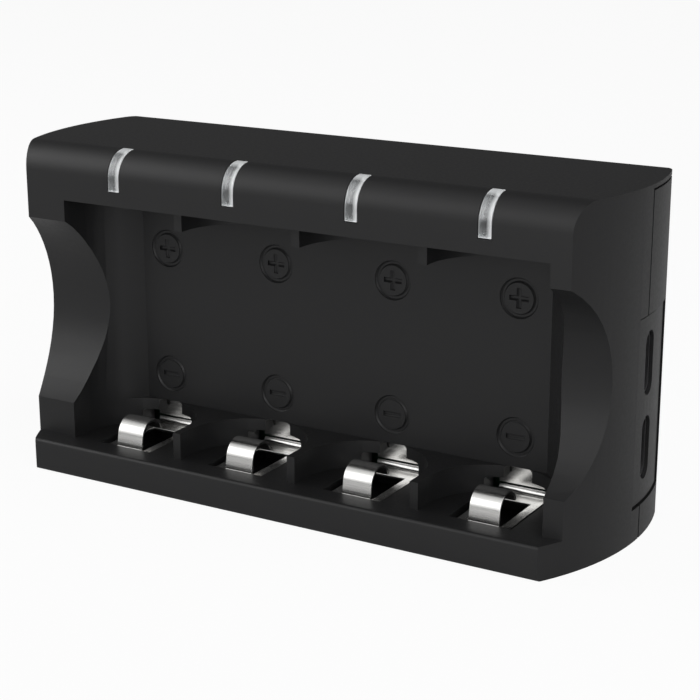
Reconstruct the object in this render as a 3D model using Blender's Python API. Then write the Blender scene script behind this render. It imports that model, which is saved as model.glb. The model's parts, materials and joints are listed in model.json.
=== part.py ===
"""Four-bay charger for short lithium cells, in metres: +Z up, the bays open towards -Y, +X to the right.

The origin is the middle of the bottom. The row of bays sits a little to the right of the body's middle.
"""

import math

import bmesh
import bpy
from mathutils import Matrix, Vector

MM = 0.001

# Body
DEPTH = 33.1 * MM
HEIGHT = 50.0 * MM
CHEEK_WIDTH = 8.8 * MM  # from the mouth to the widest part of the end, as if the row were in the middle
SIDE_RADIUS = 39.0 * MM  # each end bulges as an arc in plan
SIDE_APEX_TO_BACK = 12.6 * MM
WALL = 1.8 * MM
BOTTOM_WALL = 1.0 * MM
REAR_CORNER_RADIUS = 2.5 * MM
INNER_CORNER_RADIUS = 1.6 * MM
EDGE_RADIUS = 0.5 * MM
HOOD_FILLET = 4.0 * MM
HOOD_SETBACK = 3.55 * MM  # the hood and the cheeks stand this far behind the sill
SEAM_BEHIND_WALL = 3.15 * MM
SEAM_GAP = 0.3 * MM
ROOF_THICKNESS = 0.6 * MM  # where the housing's top reaches back over the cover
LIP_WALL = 1.0 * MM
LIP_REACH = 1.5 * MM
LIP_ROOT = 1.8 * MM
FIT = 0.3 * MM  # clearance between pieces that seat on each other

# Bays
BAY_COUNT = 4
BAY_PITCH = 20.0 * MM
BAY_SHIFT = 2.0 * MM
RIB_WIDTH = 1.3 * MM
BAY_DEPTH = 12.4 * MM  # from the hood's front to the bays' back wall
MOUTH_TURN = 40  # degrees round the outer pockets, before the mouth's end walls run straight
MOUTH_OVERLAP = 0.05 * MM  # how far those straight walls start inside the pockets
BAY_FLOOR = 4.95 * MM
PLATEAU_RISE = 4.0 * MM
HOOD_THICKNESS = 7.15 * MM  # from the bays' ceiling to the top
CEILING_RISE = 0.8 * MM  # from the mouth's upper edge to the bays' ceiling
UPPER_RIB_DROP = 2.9 * MM
UPPER_RIB_SETBACK = 1.9 * MM
CEILING_WALL = 1.4 * MM

# Finger scoops in the cheeks
SCOOP_DEPTH = 8.05 * MM
SCOOP_ABOVE_PLATEAU = 1.5 * MM
SCOOP_BELOW_RIBS = 0.3 * MM

# Negative contacts: a sprung leaf hung from a terminal plate, in a well under each bay
LEAF_WIDTH = 8.0 * MM
LEAF_THICKNESS = 0.4 * MM
LEAF_ABOVE_BOTTOM = 3.05 * MM  # from the well's floor to the level part's underside
LEAF_BEND = 0.9 * MM
LEAF_BAR = 1.0 * MM
LEAF_RAIL = 1.4 * MM
LEAF_SHELF = 1.35 * MM  # level part left uncut in front of the bays' back wall
TONGUE_WIDTH = 4.6 * MM
LOOP_RADIUS = 2.7 * MM
LOOP_RISE = 3.6 * MM  # from the bay's floor to the loop's crown
LOOP_BEHIND_MOUTH = 4.35 * MM
LOOP_END = 15  # degrees above the loop's rearmost point
HINGE_ABOVE_BEND = 0.1 * MM
PLATE_BEHIND_WALL = 0.35 * MM
WELL_MARGIN = 0.75 * MM  # on each side of the leaf
WELL_SETBACK = 0.25 * MM
NECK_WIDTH = 4.4 * MM
NECK_CORNER = 0.5 * MM
SHOULDER_RISE = 2.2 * MM  # from the bay's floor to the window's shoulders
TERMINAL_HEIGHT = 7.0 * MM
TERMINAL_FOOT = 2.4 * MM

# Positive contacts: a folded strip along each bay's ceiling
STRIP_WIDTH = 7.0 * MM
STRIP_THICKNESS = 0.3 * MM
STRIP_SETBACK = 0.6 * MM
BUMP_RADIUS = 1.5 * MM
BUMP_DROP = 0.5 * MM
BUMP_BEHIND_EDGE = 2.75 * MM  # from the strip's front edge
STRIP_TAB = 2.6 * MM
STRIP_SLIT_MARGIN = 0.4 * MM

# Circuit board
BOARD_THICKNESS = 1.4 * MM
BOARD_BEHIND_WALL = 2.05 * MM
CHIP_SIDE = 4.0 * MM
CHIP_HEIGHT = 0.9 * MM
CHIP_FROM_TOP = 5.6 * MM  # from the board's upper edge
CHIP_ASIDE = 3.0 * MM  # the chips and coils stand this far left of their bays
COIL_SIDE = 6.6 * MM
COIL_HEIGHT = 3.0 * MM
COIL_CORNER = 1.2 * MM
COIL_ABOVE_CAPACITORS = 2.3 * MM
CAPACITOR_RADIUS = 3.15 * MM
CAPACITOR_TO_COVER = 1.6 * MM
CAPACITOR_FROM_BOTTOM = 12.6 * MM  # from the board's lower edge
LED_LENGTH = 1.6 * MM
LED_WIDTH = 1.0 * MM
LED_HEIGHT = 0.6 * MM

# Light pipes over the hood's front edge
PIPE_WIDTH = 1.9 * MM
PIPE_LEG = 1.8 * MM  # below the fillet, on the hood's front
PIPE_LAP = 0.1 * MM  # past the fillet, on the flat top
PIPE_STEM = 1.5 * MM
PIPE_FIT = 0.1 * MM

# USB sockets and the panel round them
PANEL_BEHIND_WALL = 0.8 * MM
PANEL_BOTTOM = 5.15 * MM
PANEL_RECESS = 0.25 * MM
PANEL_FLANGE = 1.0 * MM
PANEL_FLANGE_WALL = 0.9 * MM
PORT_ABOVE_PANEL_FOOT = 7.6 * MM
PORT_BELOW_PANEL_TOP = 6.9 * MM
PORT_SPACING = 12.2 * MM
PORT_LENGTH = 8.9 * MM
PORT_WIDTH = 3.0 * MM
PORT_DEPTH = 7.3 * MM
PORT_SHELL = 0.3 * MM
PORT_SETBACK = 0.6 * MM
PORT_MARGIN = 0.15 * MM
TONGUE_BOARD = 0.7 * MM
TONGUE_LENGTH = 6.2 * MM
TONGUE_REACH = 4.4 * MM
PORT_BLOCK = 2.2 * MM

# Screws that hold the cover, the board and the housing together
SCREW_SPACING = 19.0 * MM  # upright, from screw to screw
SCREW_RADIUS = 1.0 * MM
SCREW_HEAD_RADIUS = 1.95 * MM
SCREW_HEAD_HEIGHT = 1.5 * MM
SCREW_SINK = 2.4 * MM  # from the back face to the top of the head
SCREW_SOCKET_DEPTH = 0.7 * MM
SCREW_CROSS = 1.4 * MM  # half the length of the cross in the head
SCREW_CROSS_ARM = 0.45 * MM  # half its width
SCREW_TIP = 1.0 * MM  # left between the screw's end and the bay
BOSS_RADIUS = 2.75 * MM
POST_RADIUS = 3.1 * MM

# Curves are drawn with this many steps
SIDE_STEPS = 24
FILLET_STEPS = 8
SCOOP_STEPS = 28
POCKET_STEPS = 18
SHEET_STEPS = 8
LOOP_STEPS = 14
BEND_STEPS = 5
ROUND_STEPS = 20
SHANK_STEPS = 12

FRONT = -DEPTH / 2
BACK = DEPTH / 2
HOOD_FRONT = FRONT + HOOD_SETBACK
BAY_BACK = HOOD_FRONT + BAY_DEPTH
CAVITY_FRONT = BAY_BACK + WALL
SEAM = CAVITY_FRONT + SEAM_BEHIND_WALL
PLATEAU = BAY_FLOOR + PLATEAU_RISE
BAY_CEILING = HEIGHT - HOOD_THICKNESS
HOOD_FLOOR = BAY_CEILING + CEILING_WALL
MOUTH_TOP = BAY_CEILING - CEILING_RISE
RIB_UNDERSIDE = MOUTH_TOP - UPPER_RIB_DROP
UPPER_RIB_FRONT = HOOD_FRONT + UPPER_RIB_SETBACK
POCKET_RADIUS = (BAY_PITCH - RIB_WIDTH) / 2
POCKET_CENTRE = BAY_BACK - POCKET_RADIUS
MOUTH_HALF = (BAY_COUNT - 1) * BAY_PITCH / 2 + POCKET_RADIUS
WIDTH = 2 * (MOUTH_HALF + CHEEK_WIDTH)
BAYS = [BAY_SHIFT + (i - (BAY_COUNT - 1) / 2) * BAY_PITCH for i in range(BAY_COUNT)]
SIDE_APEX = BACK - SIDE_APEX_TO_BACK
SCOOP_BOTTOM = PLATEAU + SCOOP_ABOVE_PLATEAU
SCOOP_TOP = RIB_UNDERSIDE - SCOOP_BELOW_RIBS
LIP_INSET = WALL + FIT
LIP_INNER = LIP_INSET + LIP_WALL
LEAF_HEIGHT = BOTTOM_WALL + LEAF_ABOVE_BOTTOM
LEAF_FRONT = HOOD_FRONT + WELL_SETBACK + FIT
PLATE_MIDDLE = CAVITY_FRONT + PLATE_BEHIND_WALL + LEAF_THICKNESS / 2
HINGE_HEIGHT = LEAF_HEIGHT + LEAF_THICKNESS / 2 + LEAF_BEND + HINGE_ABOVE_BEND
SHOULDER_TOP = BAY_FLOOR + SHOULDER_RISE
WELL_HALF = LEAF_WIDTH / 2 + WELL_MARGIN
LOOP_CENTRE = HOOD_FRONT + LOOP_BEHIND_MOUTH
LOOP_CROWN = BAY_FLOOR + LOOP_RISE
STRIP_LEVEL = BAY_CEILING - FIT - STRIP_THICKNESS / 2
BOARD_FRONT = CAVITY_FRONT + BOARD_BEHIND_WALL
BOARD_BACK = BOARD_FRONT + BOARD_THICKNESS
BOARD_BOTTOM = LIP_INNER + FIT
BOARD_TOP = HEIGHT - LIP_INNER - FIT
LED_LEVEL = (HOOD_FLOOR + BOARD_TOP) / 2
PIPE_BOTTOM = HEIGHT - HOOD_FILLET - PIPE_LEG
PANEL_FRONT = CAVITY_FRONT + PANEL_BEHIND_WALL
PANEL_BACK = BACK - REAR_CORNER_RADIUS
PORT_LOW = PANEL_BOTTOM + PORT_ABOVE_PANEL_FOOT
PORT_LEVELS = (PORT_LOW + PORT_SPACING, PORT_LOW)
PANEL_TOP = PORT_LEVELS[0] + PORT_BELOW_PANEL_TOP
PORT_MIDDLE = BOARD_BACK + FIT / 2 + PORT_WIDTH / 2
SCREW_MIDDLE = (PLATEAU + RIB_UNDERSIDE) / 2
SCREW_SPAN = (BAY_COUNT - 2) * BAY_PITCH  # the screws stand behind the outer ribs
SCREW_SPOTS = [
    (BAY_SHIFT + side * SCREW_SPAN / 2, SCREW_MIDDLE + rise * SCREW_SPACING / 2)
    for side in (-1, 1)
    for rise in (-1, 1)
]
FAR = 200 * MM

# Columns are where the drawing's x, y and its thickness point
FLAT = Matrix.Identity(3)
SIDEWAYS = Matrix(((0, 0, 1), (1, 0, 0), (0, 1, 0)))
FACING = Matrix(((1, 0, 0), (0, 0, -1), (0, 1, 0)))


def clear_scene():
    for obj in list(bpy.data.objects):
        bpy.data.objects.remove(obj, do_unlink=True)


def collection(name, helper=False):
    made = bpy.data.collections.new(name)
    made.hide_render = helper
    bpy.context.scene.collection.children.link(made)
    return made


def material(name, colour, roughness, metallic=0.0, transmission=0.0):
    made = bpy.data.materials.new(name)
    made.use_nodes = True
    shader = made.node_tree.nodes["Principled BSDF"]
    shader.inputs["Base Color"].default_value = (*colour, 1)
    shader.inputs["Roughness"].default_value = roughness
    shader.inputs["Metallic"].default_value = metallic
    shader.inputs["Transmission Weight"].default_value = transmission
    made.diffuse_color = (*colour, 1)
    return made


def arc(centre, radius, start, end, steps):
    """Points from one angle to another, in degrees, both ends included."""
    angles = [math.radians(start + (end - start) * i / steps) for i in range(steps + 1)]
    return [(centre[0] + radius * math.cos(a), centre[1] + radius * math.sin(a)) for a in angles]


def rectangle(x0, x1, y0, y1):
    return [(x0, y0), (x1, y0), (x1, y1), (x0, y1)]


def rounded_rectangle(x0, x1, y0, y1, radius):
    corners = ((x1, y0, -90), (x1, y1, 0), (x0, y1, 90), (x0, y0, 180))
    points = []
    for x, y, start in corners:
        centre = (x + (radius if x == x0 else -radius), y + (radius if y == y0 else -radius))
        points += arc(centre, radius, start, start + 90, BEND_STEPS)
    return points


def slot_outline(middle, level, half_width, half_length):
    """An upright slot with round ends."""
    straight = half_length - half_width
    upper = arc((middle, level + straight), half_width, 0, 180, 2 * BEND_STEPS)
    return upper + arc((middle, level - straight), half_width, 180, 360, 2 * BEND_STEPS)


def ribbon(path, thickness):
    """The closed outline of a bent strip whose middle follows the path."""
    points = [Vector(point) for point in path]
    left, right = [], []
    for i, point in enumerate(points):
        before = (point - points[i - 1]).normalized() if i else None
        after = (points[i + 1] - point).normalized() if i + 1 < len(points) else None
        along = ((before or after) + (after or before)).normalized()
        across = Vector((-along.y, along.x))
        stretch = 1 / across.dot(Vector((-(after or before).y, (after or before).x)))
        left.append(point + across * stretch * thickness / 2)
        right.append(point - across * stretch * thickness / 2)
    return [tuple(point) for point in left + right[::-1]]


def link(obj, group, finish=None):
    group.objects.link(obj)
    if finish:
        obj.data.materials.clear()
        obj.data.materials.append(finish)
    else:
        obj.hide_render = True
        obj.display_type = "WIRE"
    return obj


def prism(name, outline, axes, low, high, group, finish=None):
    """A flat outline given thickness from low to high, turned by its axes."""
    curve = bpy.data.curves.new(name, "CURVE")
    curve.dimensions = "2D"
    curve.fill_mode = "BOTH"
    curve.extrude = (high - low) / 2
    spline = curve.splines.new("POLY")
    spline.points.add(len(outline) - 1)
    for point, (x, y) in zip(spline.points, outline):
        point.co = (x, y, 0, 1)
    spline.use_cyclic_u = True
    drawn = bpy.data.objects.new(name + "_outline", curve)
    bpy.context.scene.collection.objects.link(drawn)
    graph = bpy.context.evaluated_depsgraph_get()
    mesh = bpy.data.meshes.new_from_object(drawn.evaluated_get(graph))
    bpy.data.objects.remove(drawn)
    shape = bmesh.new()
    shape.from_mesh(mesh)
    bmesh.ops.remove_doubles(shape, verts=shape.verts, dist=1e-6)
    bmesh.ops.translate(shape, verts=shape.verts, vec=(0, 0, (low + high) / 2))
    bmesh.ops.transform(shape, matrix=axes.to_4x4(), verts=shape.verts)
    bmesh.ops.recalc_face_normals(shape, faces=shape.faces)
    shape.to_mesh(mesh)
    shape.free()
    mesh.name = name
    return link(bpy.data.objects.new(name, mesh), group, finish)


def box(name, x, y, z, group, finish=None):
    return prism(name, rectangle(*x, *y), FLAT, *z, group, finish)


def rod(name, x, z, radius, y, group, finish=None, steps=ROUND_STEPS):
    """A round rod along Y."""
    outline = arc((x, z), radius, 0, 360 - 360 / steps, steps - 1)
    return prism(name, outline, FACING, -y[1], -y[0], group, finish)


def boolean(obj, other, operation="DIFFERENCE"):
    modifier = obj.modifiers.new(other.name, "BOOLEAN")
    modifier.operation = operation
    modifier.solver = "EXACT"
    modifier.object = other
    return obj


def side_x(y, inset=0.0):
    """Half the body's width at a depth, less an inset square to the wall."""
    radius = SIDE_RADIUS - inset
    return WIDTH / 2 - SIDE_RADIUS + math.sqrt(radius**2 - (y - SIDE_APEX) ** 2)


def plan(front, back, inset=0.0, corner=0.0):
    """The body seen from above, between two depths, with bulging ends and rounded back corners."""
    end, turn = back, []
    if corner:
        rise = back - corner - SIDE_APEX
        across = math.sqrt((SIDE_RADIUS - inset - corner) ** 2 - rise**2)
        start = math.degrees(math.atan2(rise, across))
        turn = arc((WIDTH / 2 - SIDE_RADIUS + across, back - corner), corner, start, 90, FILLET_STEPS)
        end = turn[0][1]
    depths = [front + (end - front) * i / SIDE_STEPS for i in range(SIDE_STEPS + 1)]
    right = [(side_x(y, inset), y) for y in depths] + turn[1:]
    return right + [(-x, y) for x, y in reversed(right)]


def body_section():
    """The body seen from its side: sill, hood with its rounded front edge, softened back edges."""
    e = EDGE_RADIUS
    points = arc((FRONT + e, e), e, 180, 270, BEND_STEPS)
    points += arc((BACK - e, e), e, 270, 360, BEND_STEPS)
    points += arc((BACK - e, HEIGHT - e), e, 0, 90, BEND_STEPS)
    points += arc((HOOD_FRONT + HOOD_FILLET, HEIGHT - HOOD_FILLET), HOOD_FILLET, 90, 180, FILLET_STEPS)
    points += [(HOOD_FRONT, BAY_FLOOR)]
    points += arc((FRONT + e, BAY_FLOOR - e), e, 90, 180, BEND_STEPS)
    return points


def pocket_outline(x):
    """A round-backed pocket that a cell stands in, seen from above."""
    back = arc((x, POCKET_CENTRE), POCKET_RADIUS, 0, 180, POCKET_STEPS)
    return [(x + POCKET_RADIUS, FRONT - WALL)] + back + [(x - POCKET_RADIUS, FRONT - WALL)]


def mouth_outline():
    """What joins the pockets, seen from above: past the outer ones a straight wall runs to the back."""
    turn = math.radians(MOUTH_TURN)
    start = POCKET_RADIUS - MOUTH_OVERLAP
    corner = (start - POCKET_RADIUS * math.sin(turn)) / math.cos(turn)
    half = (BAYS[-1] - BAYS[0]) / 2
    right = [(half, FRONT - WALL)]
    right += [(half + start * math.cos(turn), POCKET_CENTRE + start * math.sin(turn))]
    right += [(half + corner, BAY_BACK)]
    both = right + [(-x, y) for x, y in reversed(right)]
    return [(x + BAY_SHIFT, y) for x, y in both]


def contact_window(x):
    """The T-shaped window in the bays' back wall that the leaf comes through."""
    neck, r = NECK_WIDTH / 2, NECK_CORNER
    right = [(x + WELL_HALF, BOTTOM_WALL)]
    right += arc((x + WELL_HALF - r, SHOULDER_TOP - r), r, 0, 90, BEND_STEPS)
    right += [(x + neck, SHOULDER_TOP)]
    right += arc((x + neck - r, PLATEAU - r), r, 0, 90, BEND_STEPS)
    return right + [(2 * x - px, pz) for px, pz in reversed(right)]


def pipe_section(outer, inner):
    """The bent part of a light pipe between two depths under the hood's surface."""
    centre = (HOOD_FRONT + HOOD_FILLET, HEIGHT - HOOD_FILLET)
    end = HOOD_FRONT + HOOD_FILLET + PIPE_LAP
    over = [(HOOD_FRONT + outer, PIPE_BOTTOM)]
    over += arc(centre, HOOD_FILLET - outer, 180, 90, FILLET_STEPS)
    over += [(end, HEIGHT - outer)]
    under = [(end, HEIGHT - inner)]
    under += arc(centre, HOOD_FILLET - inner, 90, 180, FILLET_STEPS)
    under += [(HOOD_FRONT + inner, PIPE_BOTTOM)]
    return over + under


def make_front_housing(parts, cutters, finish):
    """The moulded front: hood, cheeks, sill, bays with their ribs, wells, and the whole top."""
    body = plan(FRONT, BACK, corner=REAR_CORNER_RADIUS)
    housing = prism("front_housing", body, FLAT, 0, HEIGHT, parts, finish)
    boolean(housing, prism("cut_section", body_section(), SIDEWAYS, -FAR, FAR, cutters), "INTERSECT")
    behind = ((-FAR, FAR), (SEAM - SEAM_GAP / 2, FAR), (-WALL, HEIGHT - ROOF_THICKNESS))
    boolean(housing, box("cut_behind_seam", *behind, cutters))

    cavity = plan(CAVITY_FRONT, SEAM + WALL, WALL)
    boolean(housing, prism("cut_cavity", cavity, FLAT, WALL, HEIGHT - WALL, cutters))
    behind = CAVITY_FRONT + WALL
    hood = [(HOOD_FRONT + WALL, HOOD_FLOOR), (behind, HOOD_FLOOR), (behind, HEIGHT - WALL)]
    hood += arc((HOOD_FRONT + HOOD_FILLET, HEIGHT - HOOD_FILLET), HOOD_FILLET - WALL, 90, 180, FILLET_STEPS)
    hood_half = side_x(HOOD_FRONT, WALL) - FIT
    boolean(housing, prism("cut_hood", hood, SIDEWAYS, -hood_half, hood_half, cutters))

    lintel = box("keep_lintel", (-FAR, FAR), (-FAR, UPPER_RIB_FRONT), (MOUTH_TOP, FAR), cutters)
    for i, x in enumerate(BAYS, 1):
        pocket = prism(f"cut_pocket_{i}", pocket_outline(x), FLAT, BAY_FLOOR, BAY_CEILING, cutters)
        boolean(housing, boolean(pocket, lintel))
    boolean(housing, prism("cut_mouth", mouth_outline(), FLAT, PLATEAU, RIB_UNDERSIDE, cutters))
    over_ribs = ((BAYS[0], BAYS[-1]), (FRONT - WALL, UPPER_RIB_FRONT), (RIB_UNDERSIDE - WALL, MOUTH_TOP))
    boolean(housing, box("cut_over_ribs", *over_ribs, cutters))
    for i, x in enumerate(BAYS, 1):
        well = ((x - WELL_HALF, x + WELL_HALF), (LEAF_FRONT - FIT, BAY_BACK))
        boolean(housing, box(f"cut_well_{i}", *well, (BOTTOM_WALL, BAY_FLOOR + FIT), cutters))
        through = (-CAVITY_FRONT - WALL, WALL - BAY_BACK)
        boolean(housing, prism(f"cut_window_{i}", contact_window(x), FACING, *through, cutters))
        slit_half = STRIP_WIDTH / 2 + STRIP_SLIT_MARGIN
        slit = ((x - slit_half, x + slit_half), (BAY_BACK - WALL, CAVITY_FRONT + WALL))
        slit_low = STRIP_LEVEL - STRIP_THICKNESS / 2 - FIT
        boolean(housing, box(f"cut_slit_{i}", *slit, (slit_low, BAY_CEILING), cutters))
        pipe_half = PIPE_WIDTH / 2 + PIPE_FIT
        slot = pipe_section(-WALL, WALL + FIT)
        slot = [(y, z - PIPE_FIT) if z == PIPE_BOTTOM else (y, z) for y, z in slot]
        boolean(housing, prism(f"cut_pipe_{i}", slot, SIDEWAYS, x - pipe_half, x + pipe_half, cutters))

    scoop_radius = ((SCOOP_TOP - SCOOP_BOTTOM) ** 2 / 4 + SCOOP_DEPTH**2) / (2 * SCOOP_DEPTH)
    scoop_centre = (HOOD_FRONT + SCOOP_DEPTH - scoop_radius, (SCOOP_BOTTOM + SCOOP_TOP) / 2)
    step = 360 / (2 * SCOOP_STEPS)
    scoop = arc(scoop_centre, scoop_radius, 0, 360 - step, 2 * SCOOP_STEPS - 1)
    boolean(housing, prism("cut_scoops", scoop, SIDEWAYS, -FAR, FAR, cutters))

    cut_panel_seat(housing, "front", cutters)
    for i, (x, z) in enumerate(SCREW_SPOTS, 1):
        boss = rod(f"add_boss_{i}", x, z, BOSS_RADIUS, (BAY_BACK + WALL / 2, BOARD_FRONT - FIT), cutters)
        boolean(housing, boss, "UNION")
        pilot_end = BAY_BACK + SCREW_TIP - FIT
        boolean(housing, rod(f"cut_pilot_{i}", x, z, SCREW_RADIUS + FIT, (pilot_end, BOARD_BACK), cutters))


def end_sheet(name, grow, outer, inner, group, finish=None):
    """A plate that follows the right end between two insets, larger all round than the socket panel."""
    start, end = PANEL_FRONT - grow, PANEL_BACK + grow
    depths = [start + (end - start) * i / SHEET_STEPS for i in range(SHEET_STEPS + 1)]
    outline = [(side_x(y, outer), y) for y in depths] + [(side_x(y, inner), y) for y in reversed(depths)]
    return prism(name, outline, FLAT, PANEL_BOTTOM - grow, PANEL_TOP + grow, group, finish)


def cut_panel_seat(obj, which, cutters):
    """The opening in the right end for the socket panel, and the room for its flange behind the wall."""
    boolean(obj, end_sheet(f"cut_panel_{which}", FIT, -WALL, WALL + FIT, cutters))
    room_back = WALL + max(PANEL_FLANGE_WALL, LIP_WALL) + 2 * FIT
    boolean(obj, end_sheet(f"cut_flange_{which}", PANEL_FLANGE + FIT, WALL, room_back, cutters))


def make_rear_cover(parts, cutters, finish):
    """The back shell: a lip that enters the housing, and a post over each screw."""
    cover_plan = plan(SEAM + SEAM_GAP / 2, BACK, corner=REAR_CORNER_RADIUS)
    cover_top = HEIGHT - ROOF_THICKNESS - SEAM_GAP
    cover = prism("rear_cover", cover_plan, FLAT, 0, cover_top, parts, finish)
    boolean(cover, bpy.data.objects["cut_section"], "INTERSECT")
    lip_front = SEAM - LIP_REACH
    lip = plan(lip_front, SEAM + LIP_ROOT, LIP_INSET)
    boolean(cover, prism("add_lip", lip, FLAT, LIP_INSET, HEIGHT - LIP_INSET, cutters), "UNION")
    lip_hole = plan(lip_front - WALL, SEAM + LIP_ROOT + WALL, LIP_INNER)
    boolean(cover, prism("cut_lip", lip_hole, FLAT, LIP_INNER, HEIGHT - LIP_INNER, cutters))
    hollow = plan(SEAM + LIP_ROOT, BACK - WALL, WALL, corner=INNER_CORNER_RADIUS)
    boolean(cover, prism("cut_hollow", hollow, FLAT, WALL, HEIGHT - WALL, cutters))

    cut_panel_seat(cover, "cover", cutters)
    for i, (x, z) in enumerate(SCREW_SPOTS, 1):
        post = rod(f"add_post_{i}", x, z, POST_RADIUS, (BOARD_BACK + FIT, BACK - WALL / 2), cutters)
        boolean(cover, post, "UNION")
        boolean(cover, rod(f"cut_screw_{i}", x, z, SCREW_RADIUS + FIT, (SEAM - WALL, BACK), cutters))
        seat = BACK - SCREW_SINK - SCREW_HEAD_HEIGHT - FIT
        boolean(cover, rod(f"cut_sink_{i}", x, z, SCREW_HEAD_RADIUS + FIT, (seat, BACK + WALL), cutters))


def make_port_panel(parts, cutters, finish):
    """The plate round the sockets, a little below the end's surface, with a flange behind the wall."""
    flange_front = WALL + FIT
    flange_back = flange_front + PANEL_FLANGE_WALL
    panel = end_sheet("port_panel", 0, PANEL_RECESS, flange_back, parts, finish)
    boolean(panel, end_sheet("add_flange", PANEL_FLANGE, flange_front, flange_back, cutters), "UNION")
    for i, level in enumerate(PORT_LEVELS, 1):
        hole = slot_outline(PORT_MIDDLE, level, PORT_WIDTH / 2 + PORT_MARGIN, PORT_LENGTH / 2 + PORT_MARGIN)
        boolean(panel, prism(f"cut_port_{i}", hole, SIDEWAYS, 0, FAR, cutters))


def make_ports(parts, cutters, shell_finish, tongue_finish):
    """Two sockets standing on the board's back, their mouths behind the panel's holes."""
    mouth = side_x(PORT_MIDDLE, PANEL_RECESS) - PORT_SETBACK
    rear = mouth - PORT_DEPTH
    half, long = PORT_WIDTH / 2, PORT_LENGTH / 2
    inner, block = PORT_SHELL, PORT_SHELL + FIT
    for i, level in enumerate(PORT_LEVELS, 1):
        outline = slot_outline(PORT_MIDDLE, level, half, long)
        shell = prism(f"usb_socket_shell_{i}", outline, SIDEWAYS, rear, mouth, parts, shell_finish)
        hollow = slot_outline(PORT_MIDDLE, level, half - inner, long - inner)
        boolean(shell, prism(f"cut_shell_{i}", hollow, SIDEWAYS, rear + PORT_SHELL, FAR, cutters))
        outline = slot_outline(PORT_MIDDLE, level, half - block, long - block)
        end = rear + block + PORT_BLOCK
        span = (rear + block, end)
        insulator = prism(f"usb_socket_tongue_{i}", outline, SIDEWAYS, *span, parts, tongue_finish)
        depths = (PORT_MIDDLE - TONGUE_BOARD / 2, PORT_MIDDLE + TONGUE_BOARD / 2)
        heights = (level - TONGUE_LENGTH / 2, level + TONGUE_LENGTH / 2)
        tongue = box(f"add_tongue_{i}", (end - PORT_BLOCK / 2, end + TONGUE_REACH), depths, heights, cutters)
        boolean(insulator, tongue, "UNION")


def leaf_path():
    """The leaf seen from its side: down behind the wall, round a bend and level to the front bar."""
    level = LEAF_HEIGHT + LEAF_THICKNESS / 2
    bend = arc((PLATE_MIDDLE - LEAF_BEND, level + LEAF_BEND), LEAF_BEND, 0, -90, BEND_STEPS)
    return [(PLATE_MIDDLE, HINGE_HEIGHT)] + bend + [(LEAF_FRONT, level)]


def tongue_path():
    """The sprung tongue: up from the front bar and over in a round loop to its free end."""
    level = LEAF_HEIGHT + LEAF_THICKNESS / 2
    radius = LOOP_RADIUS - LEAF_THICKNESS / 2
    centre = (LOOP_CENTRE, LOOP_CROWN - LOOP_RADIUS)
    root = LEAF_FRONT + LEAF_BAR / 2
    loop = arc(centre, radius, 180, LOOP_END, LOOP_STEPS)
    return [(root, level), (root + LEAF_BAR / 2, level)] + loop


def make_negative_contacts(parts, cutters, finish):
    """For each bay a terminal plate on the board and the sprung leaf that hangs from it."""
    half = LEAF_WIDTH / 2
    for i, x in enumerate(BAYS, 1):
        outline = ribbon(leaf_path(), LEAF_THICKNESS)
        leaf = prism(f"negative_leaf_{i}", outline, SIDEWAYS, x - half, x + half, parts, finish)
        gap_half = half - LEAF_RAIL
        depths = (LEAF_FRONT + LEAF_BAR, BAY_BACK - LEAF_SHELF)
        window = ((x - gap_half, x + gap_half), depths, (0, LEAF_HEIGHT + LEAF_BEND / 2))
        boolean(leaf, box(f"cut_leaf_{i}", *window, cutters))
        narrow = TONGUE_WIDTH / 2
        tongue = ribbon(tongue_path(), LEAF_THICKNESS)
        boolean(leaf, prism(f"add_loop_{i}", tongue, SIDEWAYS, x - narrow, x + narrow, cutters), "UNION")

        top = HINGE_HEIGHT + FIT + TERMINAL_HEIGHT
        foot = BOARD_FRONT - FIT - LEAF_THICKNESS / 2
        path = [(PLATE_MIDDLE, HINGE_HEIGHT + FIT), (PLATE_MIDDLE, top), (foot, top + (foot - PLATE_MIDDLE))]
        path.append((foot, path[-1][1] + TERMINAL_FOOT))
        outline = ribbon(path, LEAF_THICKNESS)
        prism(f"negative_terminal_{i}", outline, SIDEWAYS, x - half, x + half, parts, finish)


def make_positive_contacts(parts, finish):
    """For each bay a strip under the ceiling, with a pressed bump and a tab on the board."""
    sweep = math.degrees(math.acos(1 - BUMP_DROP / BUMP_RADIUS))
    front = UPPER_RIB_FRONT + STRIP_SETBACK
    centre = (front + BUMP_BEHIND_EDGE, STRIP_LEVEL + BUMP_RADIUS - BUMP_DROP)
    bump = arc(centre, BUMP_RADIUS, 270 - sweep, 270 + sweep, BEND_STEPS)
    tab = BOARD_FRONT - FIT - STRIP_THICKNESS / 2
    path = [(front, STRIP_LEVEL)] + bump
    path += [(tab, STRIP_LEVEL), (tab, STRIP_LEVEL - STRIP_TAB)]
    outline = ribbon(path, STRIP_THICKNESS)
    half = STRIP_WIDTH / 2
    for i, x in enumerate(BAYS, 1):
        prism(f"positive_contact_{i}", outline, SIDEWAYS, x - half, x + half, parts, finish)


def make_light_pipes(parts, cutters, finish):
    """Four clear bars flush with the hood, each with a stem back to its LED."""
    stem_low = LED_LEVEL - PIPE_STEM / 2
    for i, x in enumerate(BAYS, 1):
        half = PIPE_WIDTH / 2
        pipe = prism(f"light_pipe_{i}", pipe_section(0, WALL), SIDEWAYS, x - half, x + half, parts, finish)
        depths = (HOOD_FRONT + WALL / 2, BOARD_FRONT - LED_HEIGHT - 2 * FIT)
        stem = box(f"add_stem_{i}", (x - half, x + half), depths, (stem_low, stem_low + PIPE_STEM), cutters)
        boolean(pipe, stem, "UNION")


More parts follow.
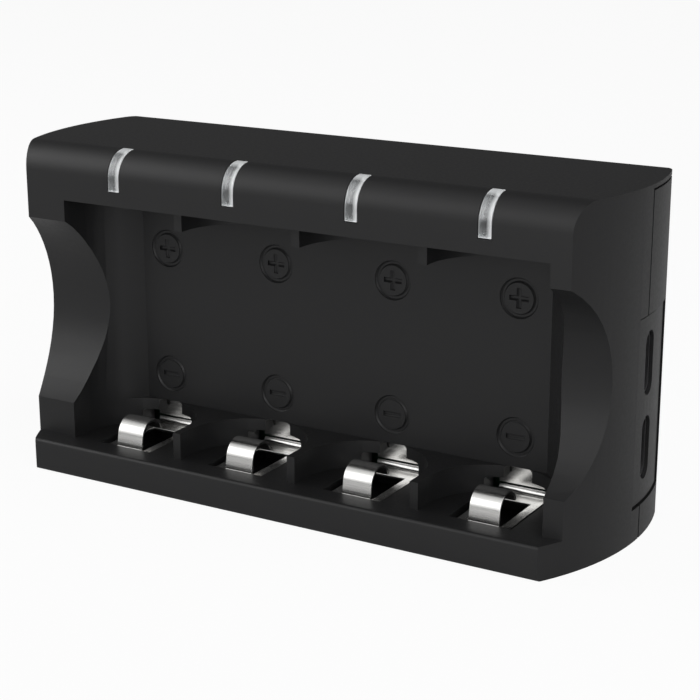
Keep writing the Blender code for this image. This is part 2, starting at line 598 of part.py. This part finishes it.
def make_board(parts, cutters, finishes):
    """The upright board behind the bays, with its LEDs, chips, coils and capacitors."""
    half = side_x(BOARD_BACK, LIP_INNER + 2 * FIT)
    depths, heights = (BOARD_FRONT, BOARD_BACK), (BOARD_BOTTOM, BOARD_TOP)
    board = box("main_board", (-half, half), depths, heights, parts, finishes["board"])
    for i, (x, z) in enumerate(SCREW_SPOTS, 1):
        hole = rod(f"cut_board_{i}", x, z, SCREW_RADIUS + FIT, (CAVITY_FRONT, SEAM + WALL), cutters)
        boolean(board, hole)
    behind, before = BOARD_BACK + FIT, BOARD_FRONT - FIT
    chip_level = BOARD_TOP - CHIP_FROM_TOP
    can_level = BOARD_BOTTOM + CAPACITOR_FROM_BOTTOM
    coil_level = can_level + CAPACITOR_RADIUS + COIL_ABOVE_CAPACITORS + COIL_SIDE / 2
    for i, x in enumerate(BAYS, 1):
        across = (x - LED_LENGTH / 2, x + LED_LENGTH / 2)
        heights = (LED_LEVEL - LED_WIDTH / 2, LED_LEVEL + LED_WIDTH / 2)
        box(f"status_led_{i}", across, (before - LED_HEIGHT, before), heights, parts, finishes["led"])
        at = x - CHIP_ASIDE
        h = CHIP_SIDE / 2
        across, heights = (at - h, at + h), (chip_level - h, chip_level + h)
        box(f"charge_chip_{i}", across, (behind, behind + CHIP_HEIGHT), heights, parts, finishes["chip"])
        h = COIL_SIDE / 2
        coil = rounded_rectangle(at - h, at + h, coil_level - h, coil_level + h, COIL_CORNER)
        prism(f"power_inductor_{i}", coil, FACING, -behind - COIL_HEIGHT, -behind, parts, finishes["coil"])
    span = (behind, BACK - WALL - CAPACITOR_TO_COVER)
    for i, x in enumerate(BAYS[1:3], 1):
        rod(f"input_capacitor_{i}", x, can_level, CAPACITOR_RADIUS, span, parts, finishes["can"])


def make_screws(parts, cutters, finish):
    """Four screws from the back, through the cover's posts and the board into the housing's bosses."""
    head_top = BACK - SCREW_SINK
    head_seat = head_top - SCREW_HEAD_HEIGHT
    socket_floor = head_top - SCREW_SOCKET_DEPTH
    arms = ((SCREW_CROSS, SCREW_CROSS_ARM), (SCREW_CROSS_ARM, SCREW_CROSS))
    for i, (x, z) in enumerate(SCREW_SPOTS, 1):
        shank = (BAY_BACK + SCREW_TIP, socket_floor)
        screw = rod(f"cover_screw_{i}", x, z, SCREW_RADIUS, shank, parts, finish, SHANK_STEPS)
        head = rod(f"add_head_{i}", x, z, SCREW_HEAD_RADIUS, (head_seat, head_top), cutters)
        boolean(screw, head, "UNION")
        for turn, (wide, tall) in enumerate(arms):
            cross = ((x - wide, x + wide), (socket_floor, head_top + WALL), (z - tall, z + tall))
            boolean(screw, box(f"cut_cross_{i}_{turn}", *cross, cutters))


def main():
    clear_scene()
    parts = collection("lithium_battery_charger")
    cutters = collection("cutters", helper=True)
    black = material("black_plastic", (0.022, 0.022, 0.024), 0.5)
    nickel = material("nickel_strip", (0.78, 0.77, 0.75), 0.18, metallic=1.0)
    clear = material("clear_acrylic", (0.9, 0.92, 0.93), 0.08, transmission=0.85)
    steel = material("socket_steel", (0.62, 0.62, 0.63), 0.3, metallic=1.0)
    screw_steel = material("screw_steel", (0.2, 0.2, 0.21), 0.35, metallic=1.0)
    finishes = {
        "board": material("green_board", (0.02, 0.11, 0.05), 0.45),
        "led": material("led_white", (0.85, 0.84, 0.78), 0.3),
        "chip": material("chip_epoxy", (0.03, 0.03, 0.032), 0.6),
        "coil": material("ferrite", (0.09, 0.09, 0.095), 0.55),
        "can": material("capacitor_can", (0.7, 0.71, 0.72), 0.25, metallic=1.0),
    }
    make_front_housing(parts, cutters, black)
    make_rear_cover(parts, cutters, black)
    make_port_panel(parts, cutters, black)
    make_ports(parts, cutters, steel, material("socket_plastic", (0.03, 0.03, 0.03), 0.4))
    make_negative_contacts(parts, cutters, nickel)
    make_positive_contacts(parts, nickel)
    make_light_pipes(parts, cutters, clear)
    make_board(parts, cutters, finishes)
    make_screws(parts, cutters, screw_steel)
    for obj in parts.objects:
        obj.data.shade_smooth()
        obj.data.set_sharp_from_angle(angle=math.radians(35))


main()
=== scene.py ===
"""Looks for the four-bay lithium battery charger: finishes, softened edges, polarity marks, light and camera.

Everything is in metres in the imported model's frame: +Z up, the bays open towards -Y, +X to the right.
"""

import json
import math

import bmesh
import bpy
from mathutils import Matrix, Vector


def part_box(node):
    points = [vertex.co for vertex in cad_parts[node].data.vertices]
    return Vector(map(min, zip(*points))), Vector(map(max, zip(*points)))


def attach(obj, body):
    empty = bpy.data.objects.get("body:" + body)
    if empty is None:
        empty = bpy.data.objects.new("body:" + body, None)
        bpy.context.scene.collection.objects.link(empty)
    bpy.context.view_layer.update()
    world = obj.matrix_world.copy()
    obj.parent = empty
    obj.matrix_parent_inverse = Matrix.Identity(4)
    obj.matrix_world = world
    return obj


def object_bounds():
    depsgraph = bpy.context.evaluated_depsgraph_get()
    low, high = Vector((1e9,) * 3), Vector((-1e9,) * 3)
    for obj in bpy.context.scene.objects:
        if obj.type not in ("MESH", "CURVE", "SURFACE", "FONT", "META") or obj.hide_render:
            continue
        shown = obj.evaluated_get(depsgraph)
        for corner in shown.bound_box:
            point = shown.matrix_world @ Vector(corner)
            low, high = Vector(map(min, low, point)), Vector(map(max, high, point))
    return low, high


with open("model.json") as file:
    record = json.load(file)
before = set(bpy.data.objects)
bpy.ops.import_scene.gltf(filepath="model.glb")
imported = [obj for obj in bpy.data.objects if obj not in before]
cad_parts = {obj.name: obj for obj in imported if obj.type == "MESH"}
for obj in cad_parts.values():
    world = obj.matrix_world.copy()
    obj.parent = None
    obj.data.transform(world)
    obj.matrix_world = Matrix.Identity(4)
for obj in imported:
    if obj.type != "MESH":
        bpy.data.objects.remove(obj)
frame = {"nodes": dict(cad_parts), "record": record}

MM = 0.001
NODES = frame["nodes"]
CAD_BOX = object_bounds()

# Camera, fitted to the photograph
IMAGE_SIDE = 700
FOCAL_PIXELS = 1750.9
CAMERA_PLACE = Vector((129.14, -210.64, 94.35)) * MM
CAMERA_TARGET = Vector((14.01, -16.55, 27.52)) * MM
CAMERA_ROLL = math.radians(-0.11)
SENSOR_WIDTH = 36.0  # in millimetres, as the camera's settings want it
CLIP_NEAR = 0.01
CLIP_FAR = 10.0

# Polarity marks pressed into the bays' back wall
BAYS = 4
MARK_RADIUS = 2.55 * MM
MARK_GROOVE = 0.4 * MM  # half the width of the bar that presses them
MARK_SPREAD = 0.985  # the marks stand a little closer together than the bays
MARK_SHIFT = -0.2 * MM  # and a little to the left
MARK_ARM = 1.45 * MM
PLUS_LEVEL = 33.35 * MM
MINUS_LEVEL = 13.35 * MM
RING_STEPS = 48
GROOVE_SIDES = 8
CAST_FROM = -1.0  # a place far in front, where the line that finds the wall starts

# Widths of the softened edges, and the turns that count as an edge or as flat
HOUSING_EDGE = 0.2 * MM
PANEL_EDGE = 0.24 * MM
STRIP_EDGE = 0.05 * MM
PIPE_EDGE = 0.15 * MM
EDGE_SEGMENTS = 2
CRISP_ANGLE = math.radians(28)
FLAT_ANGLE = math.radians(0.4)
WELD_REACH = 0.002 * MM

# How cloudy, and so how white, the light pipes are, as (share of the way, cloud), across their width and from
# foot to top: painted highlights and painted shade, whiter at the foot, over the bend, at the top end and at
# both edges, most along the right one.
# The first two stops of each list are its ends.
PIPE_AT = -8.0 * MM  # the middle of the second pipe
PIPE_PITCH = 20.0 * MM
PIPE_WIDTH = 1.9 * MM
PIPE_SIDE_PAINTED_HIGHLIGHT = ((0.0, 0.35), (1.0, 0.8), (0.14, 0.0), (0.6, 0.0), (0.86, 0.6))
PIPE_RISE_PAINTED_HIGHLIGHT = (
    (0.0, 0.9), (1.0, 1.0), (0.05, 0.1), (0.3, 0.0), (0.6, 0.25), (0.75, 0.2), (0.9, 0.05), (0.97, 0.9),
)
# Transmission of the light pipes where they carry no painted highlight, and where the painted highlight is
# whitest.
CLEAR_SHARE = 0.97
PAINTED_HIGHLIGHT_CLOUDY_SHARE = 0.1

# Light: the surroundings as matt surfaces feel them, and as they mirror in glossy ones
AMBIENT = 0.11
MIRRORED_FRONT = 1.0
MIRRORED_BACK = 0.1
MIRRORED_HORIZON = 0.25
MIRRORED_FLOOR = 0.1
BACK_FADE = (-0.5, 0.5)  # of the direction's Y, where the mirrored front turns into the back
HORIZON_FADE = (0.04, 0.16)  # of the direction's Z, where the mirrored horizon ends

# Each lamp's name, place and size in metres, and power in watts
LAMPS = (
    ("left", (-0.6, -0.1, 0.3), (0.4, 0.4), 1.65),
    ("front_left", (-0.35, -0.45, 0.35), (0.4, 0.4), 0.45),
    ("low_front", (0.15, -0.55, 0.08), (0.35, 0.35), 1.4),
    ("front_right", (0.5, -0.35, 0.3), (0.4, 0.4), 1.0),
    ("right_top", (0.35, 0.0, 0.55), (0.4, 0.4), 1.25),
)

# The white floor
FLOOR_HALF = 3.0
FLOOR_GAP = 0.02 * MM
FLOOR_COLOUR = (0.86, 0.86, 0.86, 1)
FLOOR_GLOW = 0.94  # how much of the floor's look is its own white, where the camera sees it


def smoothing_group():
    """Faces shade smoothly over edges that turn less than the crisp angle."""
    group = bpy.data.node_groups.new("smooth_by_angle", "GeometryNodeTree")
    group.interface.new_socket("Geometry", in_out="INPUT", socket_type="NodeSocketGeometry")
    group.interface.new_socket("Geometry", in_out="OUTPUT", socket_type="NodeSocketGeometry")
    make, link = group.nodes.new, group.links.new
    start, end = make("NodeGroupInput"), make("NodeGroupOutput")
    clean = make("GeometryNodeRemoveAttribute")
    clean.inputs["Name"].default_value = "custom_normal"
    faces, edges = make("GeometryNodeSetShadeSmooth"), make("GeometryNodeSetShadeSmooth")
    faces.domain, edges.domain = "FACE", "EDGE"
    edges.inputs["Shade Smooth"].default_value = False
    angle, crisp = make("GeometryNodeInputMeshEdgeAngle"), make("FunctionNodeCompare")
    crisp.inputs["B"].default_value = CRISP_ANGLE
    link(start.outputs["Geometry"], clean.inputs["Geometry"])
    link(clean.outputs["Geometry"], faces.inputs["Geometry"])
    link(faces.outputs["Geometry"], edges.inputs["Geometry"])
    link(angle.outputs["Unsigned Angle"], crisp.inputs["A"])
    link(crisp.outputs["Result"], edges.inputs["Selection"])
    link(edges.outputs["Geometry"], end.inputs["Geometry"])
    return group


def soften(obj, group, width=0.0):
    """Welds a CAD node's triangles, rounds its edges a little and shades it smoothly."""
    weld = obj.modifiers.new("weld", "WELD")
    weld.merge_threshold = WELD_REACH
    smooth = obj.modifiers.new("smooth", "NODES")
    smooth.node_group = group
    if width:
        flat = obj.modifiers.new("flat", "DECIMATE")
        flat.decimate_type = "DISSOLVE"
        flat.angle_limit = FLAT_ANGLE
        bevel = obj.modifiers.new("edges", "BEVEL")
        bevel.width = width
        bevel.segments = EDGE_SEGMENTS
        bevel.limit_method = "ANGLE"
        bevel.angle_limit = CRISP_ANGLE
        bevel.harden_normals = True
        bevel.miter_outer = "MITER_ARC"


class Finish:
    """A material built up from a Principled shader, with noise laid out in the object's own space."""

    def __init__(self, name, colour, roughness, metallic=0.0, specular=0.5):
        self.material = bpy.data.materials.new(name)
        self.material.use_nodes = True
        self.tree = self.material.node_tree
        self.shader = self.tree.nodes["Principled BSDF"]
        self.shader.inputs["Base Color"].default_value = (*colour, 1)
        self.shader.inputs["Roughness"].default_value = roughness
        self.shader.inputs["Metallic"].default_value = metallic
        self.shader.inputs["Specular IOR Level"].default_value = specular
        self.place = self.tree.nodes.new("ShaderNodeTexCoord").outputs["Object"]

    def link(self, source, target):
        """Joins two sockets."""
        self.tree.links.new(source, target)

    def noise(self, grain, detail=3.0, stretch=(1, 1, 1)):
        """Noise whose lumps are about one grain across, in metres, longer where stretched."""
        mapping = self.tree.nodes.new("ShaderNodeMapping")
        mapping.inputs["Scale"].default_value = tuple(1 / (grain * s) for s in stretch)
        noise = self.tree.nodes.new("ShaderNodeTexNoise")
        noise.inputs["Scale"].default_value = 1.0
        noise.inputs["Detail"].default_value = detail
        self.link(self.place, mapping.inputs["Vector"])
        self.link(mapping.outputs["Vector"], noise.inputs["Vector"])
        return noise.outputs["Fac"]

    def spread(self, value, low, high, target, span=(0.3, 0.7)):
        """Sends a value to one of the shader's sockets, as numbers from low to high."""
        ramp = self.tree.nodes.new("ShaderNodeMapRange")
        ramp.inputs["From Min"].default_value, ramp.inputs["From Max"].default_value = span
        ramp.inputs["To Min"].default_value, ramp.inputs["To Max"].default_value = low, high
        self.link(value, ramp.inputs["Value"])
        self.link(ramp.outputs["Result"], self.shader.inputs[target])

    def steps(self, value, start, length, stops):
        """Turns a place along an axis into numbers, by stops of (share of the length, number)."""
        along = self.tree.nodes.new("ShaderNodeMapRange")
        along.inputs["From Min"].default_value = start
        along.inputs["From Max"].default_value = start + length
        ramp = self.tree.nodes.new("ShaderNodeValToRGB")
        for i, (share, number) in enumerate(stops):
            stop = ramp.color_ramp.elements[i] if i < 2 else ramp.color_ramp.elements.new(share)
            stop.position = share
            stop.color = (number, number, number, 1)
        self.link(value, along.inputs["Value"])
        self.link(along.outputs["Result"], ramp.inputs["Fac"])
        return ramp.outputs["Color"]

    def tint(self, value, first, second):
        """Lets the colour drift between two tones with a noise."""
        mix = self.tree.nodes.new("ShaderNodeMix")
        mix.data_type = "RGBA"
        mix.inputs["A"].default_value = (*first, 1)
        mix.inputs["B"].default_value = (*second, 1)
        self.link(value, mix.inputs["Factor"])
        self.link(mix.outputs["Result"], self.shader.inputs["Base Color"])

    def bump(self, value, height, strength=1.0):
        """Raises the surface by a noise, to a height in metres."""
        bump = self.tree.nodes.new("ShaderNodeBump")
        bump.inputs["Distance"].default_value = height
        bump.inputs["Strength"].default_value = strength
        self.link(value, bump.inputs["Height"])
        self.link(bump.outputs["Normal"], self.shader.inputs["Normal"])


def moulded_black():
    """Satin black moulding with a fine spark-eroded grain."""
    finish = Finish("black_plastic", (0.010, 0.010, 0.0104), 0.44, specular=0.3)
    finish.spread(finish.noise(0.5 * MM), 0.41, 0.47, "Roughness")
    finish.bump(finish.noise(0.09 * MM, 4), 0.003 * MM, 0.5)
    return finish.material


def nickel():
    """Bright plated strip with faint rolling lines across its width."""
    finish = Finish("nickel_strip", (0.72, 0.715, 0.70), 0.22, metallic=1.0)
    finish.spread(finish.noise(0.25 * MM, 3, (40, 1, 1)), 0.17, 0.27, "Roughness")
    return finish.material


def clear_acrylic():
    """Clear polished light pipe with painted highlights: greyer down its face, whiter over the bend, at its
    ends and one side.
    """
    finish = Finish("clear_acrylic", (0.88, 0.90, 0.91), 0.08)
    finish.shader.inputs["IOR"].default_value = 1.49
    finish.spread(finish.noise(0.6 * MM), 0.04, 0.12, "Roughness")
    parts = finish.tree.nodes.new("ShaderNodeSeparateXYZ")
    finish.link(finish.place, parts.inputs["Vector"])
    aside = finish.tree.nodes.new("ShaderNodeMath")
    aside.operation = "WRAP"
    finish.link(parts.outputs["X"], aside.inputs[0])
    aside.inputs[1].default_value = PIPE_AT - PIPE_PITCH / 2
    aside.inputs[2].default_value = PIPE_AT + PIPE_PITCH / 2
    low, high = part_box("light_pipe_1")
    side = finish.steps(aside.outputs["Value"], PIPE_AT - PIPE_WIDTH / 2, PIPE_WIDTH, PIPE_SIDE_PAINTED_HIGHLIGHT)
    rise = finish.steps(parts.outputs["Z"], low.z, high.z - low.z, PIPE_RISE_PAINTED_HIGHLIGHT)
    # Painted highlight: the side and rise stops add up to the cloud that whitens the pipe.
    painted_highlight_cloud = finish.tree.nodes.new("ShaderNodeMath")
    painted_highlight_cloud.operation = "ADD"
    painted_highlight_cloud.use_clamp = True
    finish.link(side, painted_highlight_cloud.inputs[0])
    finish.link(rise, painted_highlight_cloud.inputs[1])
    finish.spread(painted_highlight_cloud.outputs["Value"], CLEAR_SHARE, PAINTED_HIGHLIGHT_CLOUDY_SHARE, "Transmission Weight", (0.0, 1.0))
    return finish.material


def plain_finishes():
    """The finishes of the small and inner parts, each with its own fine variation."""
    board = Finish("green_board", (0.004, 0.014, 0.008), 0.5, specular=0.2)
    board.tint(board.noise(0.6 * MM), (0.003, 0.011, 0.006), (0.005, 0.017, 0.010))
    board.bump(board.noise(0.4 * MM), 0.006 * MM)
    led = Finish("led_white", (0.85, 0.84, 0.78), 0.3)
    led.spread(led.noise(0.2 * MM), 0.25, 0.4, "Roughness")
    chip = Finish("chip_epoxy", (0.03, 0.03, 0.032), 0.6)
    chip.bump(chip.noise(0.05 * MM), 0.002 * MM)
    ferrite = Finish("ferrite", (0.09, 0.09, 0.095), 0.55)
    ferrite.bump(ferrite.noise(0.08 * MM), 0.006 * MM)
    can = Finish("capacitor_can", (0.7, 0.71, 0.72), 0.25, metallic=1.0)
    can.spread(can.noise(0.3 * MM), 0.2, 0.34, "Roughness")
    # Painted shade: the socket steel is coloured dark to stand in for the shadow inside the port slots.
    steel = Finish("socket_steel", (0.3, 0.3, 0.31), 0.35, metallic=1.0)
    steel.spread(steel.noise(0.15 * MM, 3, (30, 1, 1)), 0.3, 0.42, "Roughness")
    insulator = Finish("socket_plastic", (0.012, 0.012, 0.012), 0.5, specular=0.2)
    insulator.bump(insulator.noise(0.06 * MM), 0.002 * MM)
    screw = Finish("screw_steel", (0.2, 0.2, 0.21), 0.35, metallic=1.0)
    screw.spread(screw.noise(0.12 * MM), 0.3, 0.46, "Roughness")
    made = (board, led, chip, ferrite, can, steel, insulator, screw)
    return {finish.material.name: finish.material for finish in made}


def dress_nodes():
    """Gives each CAD node the finish that the record names for it, and its edges their softness."""
    for plain in list(bpy.data.materials):
        bpy.data.materials.remove(plain)
    finishes = {"black_plastic": moulded_black(), "nickel_strip": nickel(), "clear_acrylic": clear_acrylic()}
    finishes.update(plain_finishes())
    widths = {"front_housing": HOUSING_EDGE, "rear_cover": HOUSING_EDGE, "port_panel": PANEL_EDGE}
    group = smoothing_group()
    for part in frame["record"]["subparts"]:
        obj, slot = NODES[part["node"]], part["material_slot"]
        obj.data.materials.clear()
        obj.data.materials.append(finishes[slot])
        width = widths.get(part["node"], 0.0)
        if slot == "nickel_strip":
            width = STRIP_EDGE
        if slot == "clear_acrylic":
            width = PIPE_EDGE
        soften(obj, group, width)


def groove(shape, path, closed):
    """A round bar along a path in the back wall's plane, as a cutter."""
    count = len(path)
    rings = []
    for i, (x, z) in enumerate(path):
        before = path[i - 1] if closed or i else path[i]
        after = path[(i + 1) % count] if closed or i + 1 < count else path[i]
        along = Vector((after[0] - before[0], 0, after[1] - before[1])).normalized()
        across = along.cross(Vector((0, 1, 0)))
        ring = []
        for k in range(GROOVE_SIDES):
            turn = 2 * math.pi * (k + 0.5) / GROOVE_SIDES
            aside = across * math.cos(turn) + Vector((0, math.sin(turn), 0))
            ring.append(shape.verts.new(Vector((x, 0, z)) + aside * MARK_GROOVE))
        rings.append(ring)
    for first, second in zip(rings, rings[1:] + rings[:1] if closed else rings[1:]):
        for k in range(GROOVE_SIDES):
            n = (k + 1) % GROOVE_SIDES
            shape.faces.new((first[k], first[n], second[n], second[k]))
    if not closed:
        shape.faces.new(rings[0])
        shape.faces.new(rings[-1])


def press_marks():
    """Presses a ringed plus and minus into the wall behind each cell."""
    shape = bmesh.new()
    for i in range(1, BAYS + 1):
        low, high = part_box(f"negative_leaf_{i}")
        x = (low.x + high.x) / 2 * MARK_SPREAD + MARK_SHIFT
        for level, upright in ((PLUS_LEVEL, True), (MINUS_LEVEL, False)):
            turns = [2 * math.pi * k / RING_STEPS for k in range(RING_STEPS)]
            ring = [(x + MARK_RADIUS * math.cos(t), level + MARK_RADIUS * math.sin(t)) for t in turns]
            groove(shape, ring, closed=True)
            groove(shape, [(x - MARK_ARM, level), (x + MARK_ARM, level)], closed=False)
            if upright:
                groove(shape, [(x, level - MARK_ARM), (x, level + MARK_ARM)], closed=False)
    bmesh.ops.recalc_face_normals(shape, faces=shape.faces)
    mesh = bpy.data.meshes.new("mark_cutter")
    shape.to_mesh(mesh)
    shape.free()
    mesh.transform(Matrix.Translation((0, back_wall(), 0)))
    cutter = bpy.data.objects.new("mark_cutter", mesh)
    bpy.context.scene.collection.objects.link(cutter)
    cutter.hide_render = True
    cutter.display_type = "WIRE"
    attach(cutter, "housing")
    press = NODES["front_housing"].modifiers.new("marks", "BOOLEAN")
    press.object = cutter
    press.solver = "EXACT"
    press.use_self = True


def back_wall():
    """The depth of the bays' back wall, found where a line through the second bay meets it."""
    low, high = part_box("negative_leaf_2")
    start = Vector(((low.x + high.x) / 2, CAST_FROM, (PLUS_LEVEL + MINUS_LEVEL) / 2))
    hit, place, _, _ = NODES["front_housing"].ray_cast(start, Vector((0, 1, 0)))
    return place.y if hit else 0.0


def ray_share(tree, plain, glossy):
    """One value for light on the object, one for its reflections, and 1 for the camera or through glass."""
    path = tree.nodes.new("ShaderNodeLightPath")
    seen = tree.nodes.new("ShaderNodeMath")
    seen.operation = "MAXIMUM"
    tree.links.new(path.outputs["Is Camera Ray"], seen.inputs[0])
    tree.links.new(path.outputs["Is Transmission Ray"], seen.inputs[1])
    mirrored, clear = tree.nodes.new("ShaderNodeMix"), tree.nodes.new("ShaderNodeMix")
    mirrored.inputs["A"].default_value = plain
    if isinstance(glossy, float):
        mirrored.inputs["B"].default_value = glossy
    else:
        tree.links.new(glossy, mirrored.inputs["B"])
    clear.inputs["B"].default_value = 1.0
    tree.links.new(path.outputs["Is Glossy Ray"], mirrored.inputs["Factor"])
    tree.links.new(seen.outputs["Value"], clear.inputs["Factor"])
    tree.links.new(mirrored.outputs["Result"], clear.inputs["A"])
    return clear.outputs["Result"]


def make_floor():
    """A plain pale floor that shows white and keeps a soft shadow."""
    mesh = bpy.data.meshes.new("floor")
    shape = bmesh.new()
    bmesh.ops.create_grid(shape, x_segments=1, y_segments=1, size=FLOOR_HALF)
    shape.to_mesh(mesh)
    shape.free()
    floor = bpy.data.objects.new("floor", mesh)
    floor.location.z = CAD_BOX[0].z - FLOOR_GAP
    bpy.context.scene.collection.objects.link(floor)
    material = bpy.data.materials.new("floor_white")
    material.use_nodes = True
    tree = material.node_tree
    tree.nodes.remove(tree.nodes["Principled BSDF"])
    matte, glow = tree.nodes.new("ShaderNodeBsdfDiffuse"), tree.nodes.new("ShaderNodeEmission")
    matte.inputs["Color"].default_value = FLOOR_COLOUR
    glow.inputs["Strength"].default_value = 1.0
    share, mix = tree.nodes.new("ShaderNodeMath"), tree.nodes.new("ShaderNodeMixShader")
    share.operation = "MULTIPLY"
    share.inputs[1].default_value = FLOOR_GLOW
    tree.links.new(ray_share(tree, 0.0, MIRRORED_FLOOR), share.inputs[0])
    tree.links.new(share.outputs["Value"], mix.inputs["Fac"])
    tree.links.new(matte.outputs["BSDF"], mix.inputs[1])
    tree.links.new(glow.outputs["Emission"], mix.inputs[2])
    tree.links.new(mix.outputs["Shader"], tree.nodes["Material Output"].inputs["Surface"])
    mesh.materials.append(material)


def make_world():
    """White to the camera, dimmer at the horizon and back in reflections, and a dim even light otherwise."""
    world = bpy.data.worlds.new("studio")
    bpy.context.scene.world = world
    world.use_nodes = True
    tree = world.node_tree
    background = tree.nodes["Background"]
    background.inputs["Color"].default_value = (1, 1, 1, 1)
    place, parts = tree.nodes.new("ShaderNodeTexCoord"), tree.nodes.new("ShaderNodeSeparateXYZ")
    fade = tree.nodes.new("ShaderNodeMapRange")
    fade.inputs["From Min"].default_value, fade.inputs["From Max"].default_value = BACK_FADE
    fade.inputs["To Min"].default_value, fade.inputs["To Max"].default_value = MIRRORED_FRONT, MIRRORED_BACK
    tree.links.new(place.outputs["Generated"], parts.inputs["Vector"])
    tree.links.new(parts.outputs["Y"], fade.inputs["Value"])
    rise, above = tree.nodes.new("ShaderNodeMapRange"), tree.nodes.new("ShaderNodeMix")
    rise.inputs["From Min"].default_value, rise.inputs["From Max"].default_value = HORIZON_FADE
    above.inputs["A"].default_value = MIRRORED_HORIZON
    tree.links.new(parts.outputs["Z"], rise.inputs["Value"])
    tree.links.new(rise.outputs["Result"], above.inputs["Factor"])
    tree.links.new(fade.outputs["Result"], above.inputs["B"])
    tree.links.new(ray_share(tree, AMBIENT, above.outputs["Result"]), background.inputs["Strength"])


def make_lamp(name, place, target, size, power):
    """A soft rectangular lamp that faces a point."""
    data = bpy.data.lights.new(name, "AREA")
    data.shape = "RECTANGLE"
    data.size, data.size_y = size
    data.energy = power
    lamp = bpy.data.objects.new(name, data)
    lamp.location = place
    lamp.rotation_euler = (Vector(target) - Vector(place)).to_track_quat("-Z", "Y").to_euler()
    bpy.context.scene.collection.objects.link(lamp)


def make_lights():
    """Lights the object with the lamps, all aimed at its middle."""
    middle = (CAD_BOX[0] + CAD_BOX[1]) / 2
    for name, place, size, power in LAMPS:
        make_lamp(name, place, middle, size, power)


def make_camera():
    """Sets the camera as it was fitted to the photograph."""
    data = bpy.data.cameras.new("camera")
    data.sensor_width = SENSOR_WIDTH
    data.lens = SENSOR_WIDTH * FOCAL_PIXELS / IMAGE_SIDE
    data.clip_start, data.clip_end = CLIP_NEAR, CLIP_FAR
    camera = bpy.data.objects.new("camera", data)
    camera.location = CAMERA_PLACE
    aim = (CAMERA_TARGET - CAMERA_PLACE).to_track_quat("-Z", "Y").to_matrix()
    camera.rotation_euler = (aim @ Matrix.Rotation(CAMERA_ROLL, 3, "Z")).to_euler()
    bpy.context.scene.collection.objects.link(camera)
    bpy.context.scene.camera = camera


dress_nodes()
press_marks()
make_floor()
make_world()
make_lights()
make_camera()
bpy.context.scene.view_settings.view_transform = "Standard"
